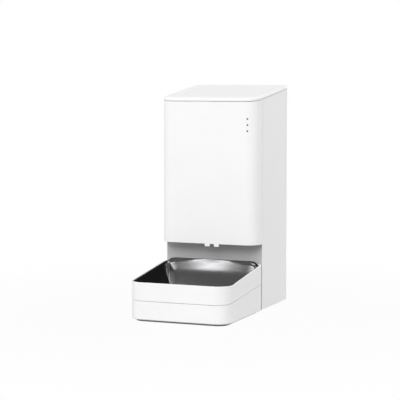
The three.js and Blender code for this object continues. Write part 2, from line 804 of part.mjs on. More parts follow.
// The idler has a gap, not a tooth, facing the drive gear's tooth.
const idlerAngle = -Math.PI / 2 + Math.PI / idlerTeeth;
piece("idler_gear", gearSolid(idlerTeeth, pin.radius + seatGap, idlerAngle), paint(0xded9cb, 0.5), [0, idlerY, 0]);

function pinionSolid() {
  const shaft = bar(
    motor.shaftRadius,
    0,
    0,
    caseFloor.low - motor.shaftReach,
    gear.low + gear.thickness / 2,
    undefined,
    16,
  );
  return join(gearSolid(pinionTeeth, motor.shaftRadius / 2, -Math.PI / 2), shaft);
}

// The idler's side away from the drive gear also shows a gap to the pinion's tooth where its count is even.
piece("motor_pinion", pinionSolid(), paint(0xb9b9b6, 0.35, 0.9), [0, motorY, 0]);

function wheelShaft() {
  return bar(shaftRadius, 0, 0, caseFloorTop + seatGap, bladeLow + wheel.bladeHeight * socketShare - seatGap);
}

piece("wheel_shaft", wheelShaft(), paint(0xb5b5b3, 0.3, 1), [0, wheelY, 0]);

function gearCase() {
  const high = chamber.floor - seatGap;
  const inner = sides(
    -caseReach(wheelTeeth),
    caseReach(wheelTeeth),
    wheelY - caseReach(wheelTeeth),
    motorY + caseReach(pinionTeeth),
    caseReach(wheelTeeth) - seatGap,
    caseReach(pinionTeeth),
  );
  const outer = inset(inner, -caseFloor.wall);
  outer.backRadius = inner.backRadius + caseFloor.wall;
  outer.frontRadius = inner.frontRadius + caseFloor.wall;
  const tub = cut(block(outer, caseFloor.low, high), block(inner, caseFloorTop, high + overrun));
  const idlerPin = bar(pin.radius, 0, idlerY, caseFloor.low, gear.low + gear.thickness + pin.radius, undefined, 16);
  const idlerBoss = bar(2 * pin.radius, 0, idlerY, caseFloor.low, gear.low - seatGap, undefined, 16);
  const shaftBoss = cut(
    bar(shaftRadius + 2 * runGap + caseFloor.wall, 0, wheelY, caseFloor.low, gear.low - seatGap),
    bar(shaftRadius + runGap, 0, wheelY, caseFloorTop, gear.low + overrun),
  );
  const motorHole = bar(motor.neckRadius + seatGap, 0, motorY, caseFloor.low - overrun, caseFloorTop + overrun);
  return cut(join(tub, idlerPin, idlerBoss, shaftBoss), motorHole);
}

piece("gear_case", gearCase(), whiteInner());

function driveMotor() {
  const top = caseFloor.low - seatGap;
  const can = bar(motor.radius, 0, motorY, top - motor.length, top);
  const neck = bar(motor.neckRadius, 0, motorY, top - motor.neckLength, caseFloor.low + motor.neckLength);
  const bore = bar(motor.shaftRadius + seatGap, 0, motorY, top - motor.shaftReach - motor.neckLength, caseFloorTop + overrun);
  return cut(join(can, neck), bore);
}

piece("drive_motor", driveMotor(), paint(0xaaaaab, 0.35, 1));

// Spout.

function outletChute() {
  const inlet = sides(-outlet.halfWidth, outlet.halfWidth, wheelY - outlet.far, wheelY - outlet.near, outlet.radius);
  const mouth = sides(-spout.halfWidth, spout.halfWidth, spout.front, spout.back, spout.radius);
  const level = (height) => () => height;
  const steps = 3;
  const top = chamber.floor - seatGap;
  const low = coverBottomHeight - spout.drop;
  const outer = (around) => inset(around, -spout.wall);
  return loft(
    [
      ring(outer(mouth), level(low), steps),
      ring(outer(mouth), level(spoutBend), steps),
      ring(outer(inlet), level(top - spoutFlange.thickness), steps),
      ring(inset(inlet, -spout.wall - spoutFlange.reach), level(top - spoutFlange.thickness), steps),
      ring(inset(inlet, -spout.wall - spoutFlange.reach), level(top), steps),
      ring(inlet, level(top), steps),
      ring(mouth, level(spoutBend), steps),
      ring(mouth, level(low), steps),
    ],
    true,
  );
}

piece("outlet_chute", outletChute(), whiteShell());

// Light barrier over the spout.

const sensor = { thickness: 3, length: 6, height: 5 };
const sensorLow = coverBottomHeight + shellWall + seatGap;

for (const side of bothSides) {
  const near = side * (spout.halfWidth + spout.wall + seatGap);
  const far = near + side * sensor.thickness;
  const middle = (spout.front + spout.back) / 2;
  const body = box(
    Math.min(near, far),
    Math.max(near, far),
    middle - sensor.length / 2,
    middle + sensor.length / 2,
    sensorLow,
    sensorLow + sensor.height,
  );
  piece(`drop_sensor_${sideName(side)}`, body, paint(0x26272a, 0.5));
}

// Boards, switch, socket and the feed button.

// Where the chips are, as shares of the board's half width and height.
const chipShares = [
  { across: -0.52, up: 0.37, size: 0.28 },
  { across: 0.03, up: 0.56, size: 0.23 },
  { across: 0.52, up: 0.28, size: 0.18 },
];

function controlBoardSolid() {
  const front = boardBack - controlBoard.thickness;
  const panel = box(
    -controlBoard.halfWidth,
    controlBoard.halfWidth,
    front,
    boardBack,
    controlBoard.low,
    controlBoard.high,
  );
  const chips = chipShares.map(({ across, up, size }) => {
    const x = across * controlBoard.halfWidth;
    const z = controlBoard.low + up * controlBoard.height;
    const half = (size * controlBoard.height) / 2;
    return box(x - half, x + half, front - controlBoard.chip, boardBack, z - half, z + half);
  });
  return join(panel, ...chips);
}

piece("control_board", controlBoardSolid(), paint(0x1f5a3a, 0.5));

function powerSocket() {
  const near = boardBack + seatGap;
  const collar = rearInner - seatGap;
  const body = box(
    socket.x - socket.halfWidth,
    socket.x + socket.halfWidth,
    near,
    collar,
    socket.z - socket.halfWidth,
    socket.z + socket.halfWidth,
  );
  const nose = rod(socket.radius, socket.x, socket.z, near, rearY - socket.sink, 24);
  const bore = rod(socket.boreRadius, socket.x, socket.z, near + socket.floor, rearY + overrun, 20);
  const pinRod = rod(socket.pinRadius, socket.x, socket.z, near, rearInner, 10);
  return join(cut(join(body, nose), bore), pinRod);
}

piece("power_socket", powerSocket(), paint(0x222324, 0.45));

piece(
  "feed_switch",
  box(
    feedButton.x - feedSwitch.halfWidth,
    feedButton.x + feedSwitch.halfWidth,
    boardBack + seatGap,
    boardBack + seatGap + feedSwitch.depth,
    feedButton.z - feedSwitch.halfWidth,
    feedButton.z + feedSwitch.halfWidth,
  ),
  paint(0x303134, 0.5),
);

function feedButtonSolid() {
  const near = boardBack + seatGap + feedSwitch.depth + feedButton.travel + seatGap;
  const rim = rod(feedButton.rimRadius, feedButton.x, feedButton.z, near, near + feedButton.rim, 24);
  const cap = rod(feedButton.radius, feedButton.x, feedButton.z, near, rearY - feedButton.sink, 24);
  return join(cap, rim);
}

piece("feed_button", feedButtonSolid(), whiteShell());

function lightBoardSolid() {
  const low = lightHeight(lightNames.length - 1) - lightBoss.offset - lightBoard.margin;
  const high = lightHeight(0) + lightBoss.offset + lightBoard.margin;
  return box(
    lights.x - lightBoard.inward,
    halfWidth - lightBoard.fromSide,
    lights.boardFront,
    lights.boardFront + lightBoard.thickness,
    low,
    high,
  );
}

piece("light_board", lightBoardSolid(), paint(0x1f5a3a, 0.5));

lightNames.forEach((name, i) => {
  const near = coverFrontY + lights.sink;
  const guide = rod(lights.radius, lights.x, lightHeight(i), near, lights.boardFront - seatGap, 12);
  piece(`status_light_${name}`, guide, paint(0x3a3c40, 0.3));
});

// Lid: shell, liner with a plug that enters the bin, seal, and the drying agent's box.

const lid = { wall: 2.2, edgeRadius: 3, edgeSteps: 4 };
const liner = { rise: 0.3, thickness: 1.6, plugDepth: 7.5, plugWall: 1.6 };
const seal = { thickness: 2.4, height: 3, drop: 1.6 };
const lidTop = (y) => seamHeight(y) + lidThickness;

function lidShell() {
  const low = (y) => seamHeight(y) + seamGap;
  const rings = [ring(towerSides, low)];
  for (let i = 0; i <= lid.edgeSteps; i++) {
    const angle = ((Math.PI / 2) * i) / lid.edgeSteps;
    const by = lid.edgeRadius * (1 - Math.cos(angle));
    const down = lid.edgeRadius * (1 - Math.sin(angle));
    rings.push(ring(inset(towerSides, by), (y) => lidTop(y) - down));
  }
  const room = loft([
    ring(inset(towerSides, lid.wall), (y) => seamHeight(y) - overrun),
    ring(inset(towerSides, lid.wall), (y) => lidTop(y) - lid.wall),
  ]);
  return cut(loft(rings), room);
}

piece("lid_shell", lidShell(), whiteShell());

const linerLow = (y) => seamHeight(y) + seamGap + liner.rise;
const linerHigh = (y) => linerLow(y) + liner.thickness;
const plugLow = (y) => seamHeight(y) - liner.plugDepth;
const plugSides = inset(binSides, bin.wall + seal.thickness + 2 * runGap);

function lidLiner() {
  const skirt = loft([ring(inset(towerSides, lid.wall + seatGap), linerLow), ring(inset(towerSides, lid.wall + seatGap), linerHigh)]);
  const plug = loft([ring(plugSides, plugLow), ring(plugSides, linerHigh)]);
  const room = loft([
    ring(inset(plugSides, liner.plugWall), (y) => plugLow(y) + liner.plugWall),
    ring(inset(plugSides, liner.plugWall), (y) => linerHigh(y) + overrun),
  ]);
  return cut(join(skirt, plug), room);
}

piece("lid_liner", lidLiner(), whiteInner());

function lidSeal() {
  const high = (y) => seamHeight(y) - seal.drop;
  const low = (y) => high(y) - seal.height;
  const inner = inset(plugSides, -seatGap);
  const outer = inset(plugSides, -seatGap - seal.thickness);
  return loft([ring(outer, low), ring(inner, low), ring(inner, high), ring(outer, high)], true);
}

piece("lid_seal", lidSeal(), paint(0xb9bcbb, 0.7));

const dryer = { radius: 27, wall: 1.8, depth: 17, capThickness: 2, capRim: 5, slotWidth: 3, slotInner: 6, slotMargin: 7 };
dryer.slotOuter = dryer.radius - dryer.slotMargin;
dryer.y = (binSides.front + binSides.back) / 2;
const dryerSlots = 8;
const dryerTop = (y) => plugLow(y) - seatGap;
const dryerLow = dryerTop(dryer.y - dryer.radius) - dryer.depth;

function desiccantBox() {
  const cup = bar(dryer.radius, 0, dryer.y, dryerLow, dryerTop(rearY));
  const room = bar(dryer.radius - dryer.wall, 0, dryer.y, dryerLow - overrun, dryerLow + dryer.depth - dryer.wall);
  return cut(cup, room, above(dryerTop));
}

piece("desiccant_box", desiccantBox(), paint(0xe6e6e4, 0.5));

function desiccantCap() {
  const high = dryerLow - seatGap;
  const disc = bar(dryer.radius, 0, 0, high - dryer.capThickness, high);
  const rim = cut(
    bar(dryer.radius - dryer.wall - runGap, 0, 0, high - dryer.capThickness / 2, high + dryer.capRim),
    bar(dryer.radius - 2 * dryer.wall - runGap, 0, 0, high, high + dryer.capRim + overrun),
  );
  const slots = Array.from({ length: dryerSlots }, (unused, i) => {
    const reach = dryer.slotOuter - dryer.slotInner;
    const geometry = new THREE.BoxGeometry(reach, dryer.slotWidth, 4 * dryer.capThickness);
    geometry.translate(dryer.slotInner + reach / 2, 0, high).rotateZ((2 * Math.PI * i) / dryerSlots);
    return solid(geometry);
  });
  return cut(join(disc, rim), ...slots);
}

piece("desiccant_cap", desiccantCap(), paint(0xe6e6e4, 0.5), [0, dryer.y, 0]);

const pouch = { room: 2.9, height: 6, edge: 2 };
pouch.radius = dryer.radius - 2 * dryer.wall - runGap - pouch.room;

function desiccantPouch() {
  const low = dryerLow;
  return join(
    bar(pouch.radius - pouch.edge, 0, dryer.y, low, low + pouch.edge, pouch.radius, 24),
    bar(pouch.radius, 0, dryer.y, low + pouch.edge, low + pouch.height, pouch.radius - pouch.edge, 24),
  );
}

piece("desiccant_pouch", desiccantPouch(), paint(0xf4f2ec, 0.9));

function releaseButton() {
  const pad = box(
    -release.halfWidth + runGap,
    release.halfWidth - runGap,
    rearInner - seatGap - release.rimThickness,
    rearY - release.sink,
    releaseLow + runGap,
    releaseLow + release.height - runGap,
  );
  const rim = box(
    -release.halfWidth - release.rim,
    release.halfWidth + release.rim,
    rearInner - seatGap - release.rimThickness,
    rearInner - seatGap,
    releaseLow - release.rim,
    releaseLow + release.height + release.rim,
  );
  return join(pad, rim);
}

piece("release_button", releaseButton(), whiteShell());

// Tray: a lower shell, an upper bowl holder over it, and the skid that it stands on.

const trayFloorGap = 3.2;
const trayFrontRadius = 23;
const trayBackRadius = 3;
const traySides = sides(-halfWidth, halfWidth, frontY, trayRearY, trayFrontRadius, trayBackRadius);
const trayPartingHeight = 31.2; // at the tray's front
const trayPartingSlopeShare = 0.087;
const parting = (y) => trayPartingHeight + trayPartingSlopeShare * (y - frontY);
const rim = { height: 59.3, slopeShare: 0.126, edgeRadius: 0.6, edgeSteps: 2 };
// The rim is level round the front corners, then it rises.
const rimHeight = (y) => rim.height + rim.slopeShare * Math.max(0, y - frontY - trayFrontRadius);
const trayLap = { length: 4, thickness: 1.5 };
const pad = { height: 0.7, halfWidth: 9, halfHeight: 7 };
const trayMagnet = { fromWall: 0.9 };

const bowl = {
  margin: 1.3,
  rearMargin: 4.5,
  radius: 24,
  wall: 0.9,
  lip: 1.4,
  lipThickness: 0.9,
  lipDrop: 0.3,
  ledge: 2.2,
  backRise: 6, // how far the rear of the lip stands above the tray's rim
  floor: 18,
  draft: 26, // how far the floor's edge lies inside the lip
};
const lipSides = sides(
  -halfWidth + bowl.margin,
  halfWidth - bowl.margin,
  frontY + bowl.margin,
  trayRearY - bowl.rearMargin,
  trayFrontRadius - bowl.margin,
  bowl.radius,
);

// The lip follows the rim, and sweeps up round the rear corners to a higher back.
function lipHeight(y) {
  const share = Math.min(1, Math.max(0, (y - lipSides.back + bowl.radius) / bowl.radius));
  return rimHeight(y) - bowl.lipDrop + bowl.backRise * share * share * (3 - 2 * share);
}

function trayBase() {
  const top = parting(trayRearY) + overrun;
  const outer = cut(block(traySides, trayFloorGap, top), above(parting));
  const room = block(inset(traySides, shellWall), trayFloorGap + shellWall, top + overrun);
  const rearInside = trayRearY - shellWall;
  const cups = bothSides.map((side) =>
    rod(magnet.radius + magnet.cup, side * magnet.x, magnet.z, rearInside - magnet.thickness, rearInside + seatGap),
  );
  const pockets = bothSides.map((side) =>
    rod(magnet.radius + seatGap, side * magnet.x, magnet.z, rearInside - magnet.thickness - overrun, trayRearY - trayMagnet.fromWall),
  );
  const pads = bothSides.map((side) =>
    box(
      side * magnet.x - pad.halfWidth,
      side * magnet.x + pad.halfWidth,
      trayRearY - shellWall / 2,
      trayRearY + pad.height,
      magnet.z - pad.halfHeight,
      magnet.z + pad.halfHeight,
    ),
  );
  return cut(join(cut(outer, room), ...pads, ...cups), ...pockets);
}

piece("tray_base", trayBase(), whiteShell());

for (const side of bothSides) {
  const far = trayRearY - trayMagnet.fromWall - seatGap;
  const disc = rod(magnet.radius, side * magnet.x, magnet.z, far - magnet.thickness, far);
  piece(`tray_magnet_${sideName(side)}`, disc, paint(0x9c9c9e, 0.3, 1));
}

const skid = { inset: 7, width: 7 };
const skidSolid = wall(traySides, skid.inset, skid.inset + skid.width, 0, trayFloorGap - seatGap);
piece("tray_skid", skidSolid, paint(0x8c8d8f, 0.85));

// The upper shell is one profile round the tray: tongue, outer wall, rim, the ledge under the bowl's lip, inner wall.
function bowlHolder() {
  const low = (y) => parting(y) + seamGap;
  const tongueLow = (y) => low(y) - trayLap.length;
  const tongueHigh = (y) => low(y) + trayLap.length;
  const seat = (y) => rimHeight(y) - bowl.lipDrop - bowl.lipThickness - seatGap;
  const under = (y) => seat(y) - bowl.ledge;
  const tongueOuter = inset(traySides, shellWall + seatGap);
  const tongueInner = inset(traySides, shellWall + seatGap + trayLap.thickness);
  const edge = Array.from({ length: rim.edgeSteps + 1 }, (unused, i) => {
    const angle = ((Math.PI / 2) * i) / rim.edgeSteps;
    const by = rim.edgeRadius * (1 - Math.cos(angle));
    const down = rim.edgeRadius * (1 - Math.sin(angle));
    return ring(inset(traySides, by), (y) => rimHeight(y) - down);
  });
  return loft(
    [
      ring(tongueOuter, tongueLow),
      ring(tongueOuter, low),
      ring(traySides, low),
      ...edge,
      ring(inset(lipSides, -runGap), rimHeight),
      ring(inset(lipSides, -runGap), seat),
      ring(inset(lipSides, bowl.lip - runGap), seat),
      ring(inset(lipSides, bowl.lip - runGap), under),
      ring(inset(traySides, shellWall), under),
      ring(inset(traySides, shellWall), tongueHigh),
      ring(tongueInner, tongueHigh),
      ring(tongueInner, tongueLow),
    ],
    true,
  );
}

piece("bowl_holder", bowlHolder(), whiteShell());

// A pressed bowl: steep walls that curve into a flat floor, hung by its lip.
const bowlCurveShares = [
  { draft: 0, rise: 1 },
  { draft: 0.026, rise: 0.86 },
  { draft: 0.086, rise: 0.7 },
  { draft: 0.208, rise: 0.5 },
  { draft: 0.396, rise: 0.3 },
  { draft: 0.604, rise: 0.15 },
  { draft: 0.823, rise: 0.05 },
  { draft: 1, rise: 0 },
];

// One side of the sheet, from the floor up to the lip.
function bowlSide(offset) {
  const bottom = bowl.floor + offset;
  const rings = bowlCurveShares.map(({ draft, rise }) =>
    ring(inset(lipSides, bowl.lip + offset + draft * bowl.draft), (y) => bottom + rise * (lipHeight(y) - bottom)),
  );
  return rings.reverse();
}

function steelBowl() {
  const under = (y) => lipHeight(y) - bowl.lipThickness;
  const outside = bowlSide(0);
  outside[outside.length - 1] = ring(inset(lipSides, bowl.lip), under);
  return loft([...outside, ring(lipSides, under), ring(lipSides, lipHeight), ...bowlSide(bowl.wall).reverse()]);
}

piece("steel_bowl", steelBowl(), paint(0x9a9a9a, 0.28, 1));

export default feeder;
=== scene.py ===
# Smart pet feeder: looks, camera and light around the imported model.
import json
import math
import bpy
import bmesh
from mathutils import Matrix, Vector


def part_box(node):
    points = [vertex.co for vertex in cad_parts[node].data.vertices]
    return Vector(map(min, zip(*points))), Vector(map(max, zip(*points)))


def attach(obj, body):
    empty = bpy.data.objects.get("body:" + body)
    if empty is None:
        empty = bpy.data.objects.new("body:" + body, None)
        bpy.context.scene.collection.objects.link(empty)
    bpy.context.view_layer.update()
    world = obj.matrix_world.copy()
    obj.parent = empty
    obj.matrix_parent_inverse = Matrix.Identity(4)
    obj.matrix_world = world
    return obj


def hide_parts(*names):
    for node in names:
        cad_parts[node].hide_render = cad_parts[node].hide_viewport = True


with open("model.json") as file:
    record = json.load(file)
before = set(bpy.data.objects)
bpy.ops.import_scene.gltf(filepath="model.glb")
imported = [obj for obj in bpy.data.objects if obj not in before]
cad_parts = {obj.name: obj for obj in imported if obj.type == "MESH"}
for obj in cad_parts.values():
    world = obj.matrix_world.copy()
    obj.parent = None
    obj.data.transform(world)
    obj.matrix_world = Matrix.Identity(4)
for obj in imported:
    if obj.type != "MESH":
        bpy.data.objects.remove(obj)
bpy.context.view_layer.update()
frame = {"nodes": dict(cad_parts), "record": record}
nodes = frame["nodes"]
scene = bpy.context.scene

# Camera, from a fit to the photograph's straight edges. Angles are in degrees and places in metres.
camera = {
    "azimuth": 22.0, "elevation": 4.9, "distance": 2.2528, "target": (-0.0236, 0.0135, 0.1711),
    "lens": 129.57, "sensor": 36, "clipEnd": 20,
}


# Puts a camera or a lamp at a distance from its target, at an azimuth and an elevation, and turns it to the target.
def aim(holder, place, distance, target):
    azimuth, elevation = math.radians(place["azimuth"]), math.radians(place["elevation"])
    level = math.cos(elevation)
    away = Vector((math.sin(azimuth) * level, -math.cos(azimuth) * level, math.sin(elevation)))
    holder.location = Vector(target) + away * distance
    holder.rotation_euler = away.to_track_quat("Z", "Y").to_euler()


def placeCamera():
    data = bpy.data.cameras.new("camera")
    data.lens, data.sensor_width, data.clip_end = camera["lens"], camera["sensor"], camera["clipEnd"]
    holder = bpy.data.objects.new("camera", data)
    scene.collection.objects.link(holder)
    aim(holder, camera, camera["distance"], camera["target"])
    scene.camera = holder


placeCamera()
print("camera placed")

# Sizes that several pieces share, in mm.
feeder = {
    "halfWidth": 80, "frontY": -137.5, "trayRearY": 12.5, "dockY": 13.5, "rearY": 137.5, "coverFrontY": -13,
    "coverBottom": 106, "seamFront": 325.5, "seamSlope": 0.125, "aboveSeam": 380, "wall": 2.5, "floorGap": 4,
}
# The tray's parting line and rim at the front, their rise per mm, and the bowl's lip against the rim.
trayLines = {
    "parting": 31.2, "partingSlope": 0.087, "rim": 59.3, "rimSlope": 0.126,
    "lipUnderRim": 0.3, "lipRise": 5.2, "lipSweep": 12,
}
# Outlines in plan: the sides, the ends and the radii of the corners at each end.
towerPlan = {
    "left": -feeder["halfWidth"], "right": feeder["halfWidth"], "front": feeder["coverFrontY"], "back": feeder["rearY"],
    "frontRadius": 20, "backRadius": 9,
}
trayPlan = {
    "left": -feeder["halfWidth"], "right": feeder["halfWidth"], "front": feeder["frontY"], "back": 11.2,
    "frontRadius": 23, "backRadius": 3,
}
bowlPlan = {"left": -78.7, "right": 78.7, "front": -136.2, "back": 8, "frontRadius": 21.7, "backRadius": 9}
# What the back wall carries.
rearWall = {"buttonX": -42, "buttonZ": 44, "buttonHole": 7.5, "socketX": 42, "socketZ": 36, "socketHole": 4.9}


def partingAt(y):
    return trayLines["parting"] + trayLines["partingSlope"] * (y - feeder["frontY"])


# The rim is level round the front corners, then rises.
def rimAt(y):
    return trayLines["rim"] + trayLines["rimSlope"] * max(0, y - feeder["frontY"] - trayPlan["frontRadius"])


# The lip follows the rim and sweeps up from the rear corners to the middle of the back.
def lipAt(place, plan):
    inward = plan["right"] - abs(place.x) if place.y > -plan["backRadius"] else 0
    share = min(1, max(0, inward / trayLines["lipSweep"]))
    return rimAt(place.y) - trayLines["lipUnderRim"] + trayLines["lipRise"] * share * share * (3 - 2 * share)


# Modelling helpers. Every bmesh is in mm, and objectFrom turns it into metres.
up, down, forward, backward = (0, 0, 1), (0, 0, -1), (0, -1, 0), (0, 1, 0)
same = 0.01  # places this near to each other count as one


def boxOf(node):
    return [corner * 1000 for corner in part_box(node)]


def camelCase(node):
    first, *rest = node.split("_")
    return first + "".join(word.title() for word in rest)


def inset(plan, by):
    return {
        "left": plan["left"] + by, "right": plan["right"] - by,
        "front": plan["front"] + by, "back": plan["back"] - by,
        "frontRadius": max(plan["frontRadius"] - by, plan["frontRadius"] / 4),
        "backRadius": max(plan["backRadius"] - by, plan["backRadius"] / 4),
    }


# Moves the points of one plan's outline on to another's: corners on to corners, ends on to ends.
def refit(verts, old, new):
    for v in verts:
        end = "front" if v.co.y < (old["front"] + old["back"]) / 2 else "back"
        side = "left" if v.co.x < (old["left"] + old["right"]) / 2 else "right"
        sideways, inward = (1 if side == "left" else -1), (1 if end == "front" else -1)
        straight, newStraight = [plan["right"] - plan[end + "Radius"] for plan in (old, new)]
        if abs(v.co.x) < straight - 5 * same:
            v.co.x *= newStraight / straight
            v.co.y = new[end]
            continue
        corners = [Vector((plan[side] + sideways * plan[end + "Radius"], plan[end] + inward * plan[end + "Radius"], 0))
                   for plan in (old, new)]
        away = v.co - corners[0]
        away.z = 0
        v.co = corners[1] + away.normalized() * new[end + "Radius"] + Vector((0, 0, v.co.z))


def bevelEdges(bm, edges, radius, segments):
    if edges:
        bmesh.ops.bevel(bm, geom=edges, offset=radius, offset_type="OFFSET", segments=segments, profile=0.5,
                        affect="EDGES", material=-1, clamp_overlap=True)


def block(low, high):
    bm = bmesh.new()
    size = Matrix.Diagonal((high[0] - low[0], high[1] - low[1], high[2] - low[2], 1))
    middle = Matrix.Translation([(a + b) / 2 for a, b in zip(low, high)])
    bmesh.ops.create_cube(bm, size=1, matrix=middle @ size)
    return bm


def uprightEdges(bm, y):
    return [e for e in bm.edges
            if abs(e.verts[0].co.z - e.verts[1].co.z) > same and all(abs(v.co.y - y) < same for v in e.verts)]


def edgesAlongY(bm):
    return [e for e in bm.edges if abs(e.verts[0].co.y - e.verts[1].co.y) > 1]


# An upright block with rounded corners in plan.
def column(plan, low, high, segments=16):
    bm = block((plan["left"], plan["front"], low), (plan["right"], plan["back"], high))
    for end in ("front", "back"):
        bevelEdges(bm, uprightEdges(bm, plan[end]), plan[end + "Radius"], segments)
    return bm


def cylinder(radius, depth, place, axis="Z", segments=32, tip=None):
    bm = bmesh.new()
    turn = Matrix.Rotation(math.radians(-90), 4, "X") if axis == "Y" else Matrix.Identity(4)
    bmesh.ops.create_cone(bm, cap_ends=True, segments=segments, radius1=radius, radius2=radius if tip is None else tip,
                          depth=depth, matrix=Matrix.Translation(place) @ turn)
    return bm


def facesFacing(bm, direction, limit=0.9):
    bm.normal_update()
    return [f for f in bm.faces if f.normal.dot(Vector(direction)) > limit]


# The edges round a group of faces.
def loopOf(faces):
    inside = set(faces)
    return [e for e in {e for f in faces for e in f.edges} if len([f for f in e.link_faces if f in inside]) == 1]


def dropFaces(bm, faces):
    bmesh.ops.delete(bm, geom=faces, context="FACES")


def dropFacing(bm, *directions):
    dropFaces(bm, [f for direction in directions for f in facesFacing(bm, direction)])


def cutAway(bm, point, normal):
    bmesh.ops.bisect_plane(bm, geom=bm.verts[:] + bm.edges[:] + bm.faces[:], plane_co=point, plane_no=normal,
                           clear_outer=True, clear_inner=False)


# Takes off what is above a plane that rises to the rear.
def cutAtSlope(bm, y, z, slope):
    cutAway(bm, (0, y, z), Vector((0, -slope, 1)).normalized())


def cutAtSeam(bm, drop=0):
    cutAtSlope(bm, feeder["coverFrontY"], feeder["seamFront"] - drop, feeder["seamSlope"])


def shear(bm, slope, atY, rise):
    turned = Matrix(((1, 0, 0, 0), (0, 1, 0, 0), (0, slope, 1, rise - slope * atY), (0, 0, 0, 1)))
    bmesh.ops.transform(bm, matrix=turned, verts=bm.verts)


# Gives an open skin its thickness on the inner side.
def thicken(bm, wall):
    bmesh.ops.recalc_face_normals(bm, faces=bm.faces)
    bmesh.ops.solidify(bm, geom=bm.faces[:], thickness=wall)


# Sinks the middle of a face, inside a flat rim and a slope.
def dish(bm, faces, sizes):
    bmesh.ops.inset_region(bm, faces=faces, thickness=sizes["rim"], use_even_offset=True)
    bmesh.ops.inset_region(bm, faces=faces, thickness=sizes["slope"], depth=-sizes["dish"], use_even_offset=True)


def addTo(bm, other):
    spare = bpy.data.meshes.new("spare")
    other.to_mesh(spare)
    bm.from_mesh(spare)
    other.free()
    bpy.data.meshes.remove(spare)


def objectFrom(bm, name):
    bmesh.ops.remove_doubles(bm, verts=bm.verts, dist=same / 10)
    bmesh.ops.scale(bm, vec=(0.001, 0.001, 0.001), verts=bm.verts)
    mesh = bpy.data.meshes.new(name)
    bm.to_mesh(mesh)
    bm.free()
    made = bpy.data.objects.new(name, mesh)
    scene.collection.objects.link(made)
    return made


def carve(made, tools, operation="DIFFERENCE"):
    for tool in tools:
        bmesh.ops.recalc_face_normals(tool, faces=tool.faces)
        cutter = objectFrom(tool, "cutter")
        step = made.modifiers.new("carve", "BOOLEAN")
        step.operation = operation
        step.solver = "EXACT"
        step.object = cutter
        bpy.context.view_layer.update()
        carved = bpy.data.meshes.new_from_object(made.evaluated_get(bpy.context.evaluated_depsgraph_get()))
        made.modifiers.remove(step)
        old = made.data
        made.data = carved
        carved.name = made.name
        bpy.data.meshes.remove(old)
        bpy.data.objects.remove(cutter)


# Smooth faces with crisp edges, a fine edge radius, a finish, and its place in the moving model.
def finishPiece(made, bodyName, slot, node, edge=0.35, angle=32):
    mesh = made.data
    for polygon in mesh.polygons:
        polygon.use_smooth = True
    if edge:
        bevel = made.modifiers.new("edge", "BEVEL")
        bevel.width = edge / 1000
        bevel.segments = 2
        bevel.limit_method = "ANGLE"
        bevel.angle_limit = math.radians(angle)
        bevel.harden_normals = True
        bevel.miter_outer = "MITER_ARC"
        bevel.use_clamp_overlap = True
        even = made.modifiers.new("even shading", "WEIGHTED_NORMAL")
        even.weight = 80
        even.keep_sharp = True
    else:
        mesh.set_sharp_from_angle(angle=math.radians(angle))
    mesh.materials.clear()
    mesh.materials.append(finishes[slot])
    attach(made, bodyName)
    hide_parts(node)


# Gives the faces that look against an axis at one place in mm a second finish; here that is the grey painted shade of
# the recess under the cover.
def paintShadeOnFaces(made, axis, at, finish, within=0.2):
    made.data.materials.append(finish)
    for face in made.data.polygons:
        if abs(face.center[axis] * 1000 - at) < within and face.normal[axis] < -0.9:
            face.material_index = 1


# Finishes. Noise scales are per metre, and bump heights in metres.
grains = {
    "drift": 22, "driftGloss": (-0.04, 0.05), "spark": 2600, "sparkHeight": 0.00004,
    "brushGloss": (0.8, 1.25), "brushHeight": 0.00003, "rubber": 1500, "rubberRoughness": 0.75, "rubberShade": 0.85,
    "rubberDepth": 0.3, "rubberHeight": 0.0001, "glossRange": (0.3, 0.7), "tintRange": (0.35, 0.65),
}


def newFinish(name, color, roughness, metallic=0.0, specular=0.5):
    finish = bpy.data.materials.new(name)
    finish.use_nodes = True
    shader = finish.node_tree.nodes["Principled BSDF"]
    shader.inputs["Base Color"].default_value = (*color, 1)
    shader.inputs["Roughness"].default_value = roughness
    shader.inputs["Metallic"].default_value = metallic
    shader.inputs["Specular IOR Level"].default_value = specular
    return finish, finish.node_tree, shader


def objectPlace(tree):
    return tree.nodes.new("ShaderNodeTexCoord").outputs["Object"]


def objectNoise(tree, scale, detail=3.0, stretch=(1, 1, 1)):
    mapping = tree.nodes.new("ShaderNodeMapping")
    mapping.inputs["Scale"].default_value = stretch
    noise = tree.nodes.new("ShaderNodeTexNoise")
    noise.inputs["Scale"].default_value = scale
    noise.inputs["Detail"].default_value = detail
    tree.links.new(objectPlace(tree), mapping.inputs["Vector"])
    tree.links.new(mapping.outputs["Vector"], noise.inputs["Vector"])
    return noise.outputs["Fac"]


# Maps one range of a value on to another and stays within it.
def spread(tree, source, old, new):
    ranged = tree.nodes.new("ShaderNodeMapRange")
    for end, value in zip(("From Min", "From Max", "To Min", "To Max"), (*old, *new)):
        ranged.inputs[end].default_value = value
    tree.links.new(source, ranged.inputs["Value"])
    return ranged.outputs["Result"]


def gloss(tree, shader, source, low, high):
    tree.links.new(spread(tree, source, grains["glossRange"], (low, high)), shader.inputs["Roughness"])


def tint(tree, shader, source, first, second):
    ramp = tree.nodes.new("ShaderNodeValToRGB")
    for stop, position, color in zip(ramp.color_ramp.elements, grains["tintRange"], (first, second)):
        stop.position = position
        stop.color = (*color, 1)
    tree.links.new(source, ramp.inputs["Fac"])
    tree.links.new(ramp.outputs["Color"], shader.inputs["Base Color"])


def bump(tree, shader, source, strength, distance):
    node = tree.nodes.new("ShaderNodeBump")
    node.inputs["Strength"].default_value = strength
    node.inputs["Distance"].default_value = distance
    tree.links.new(source, node.inputs["Height"])
    tree.links.new(node.outputs["Normal"], shader.inputs["Normal"])


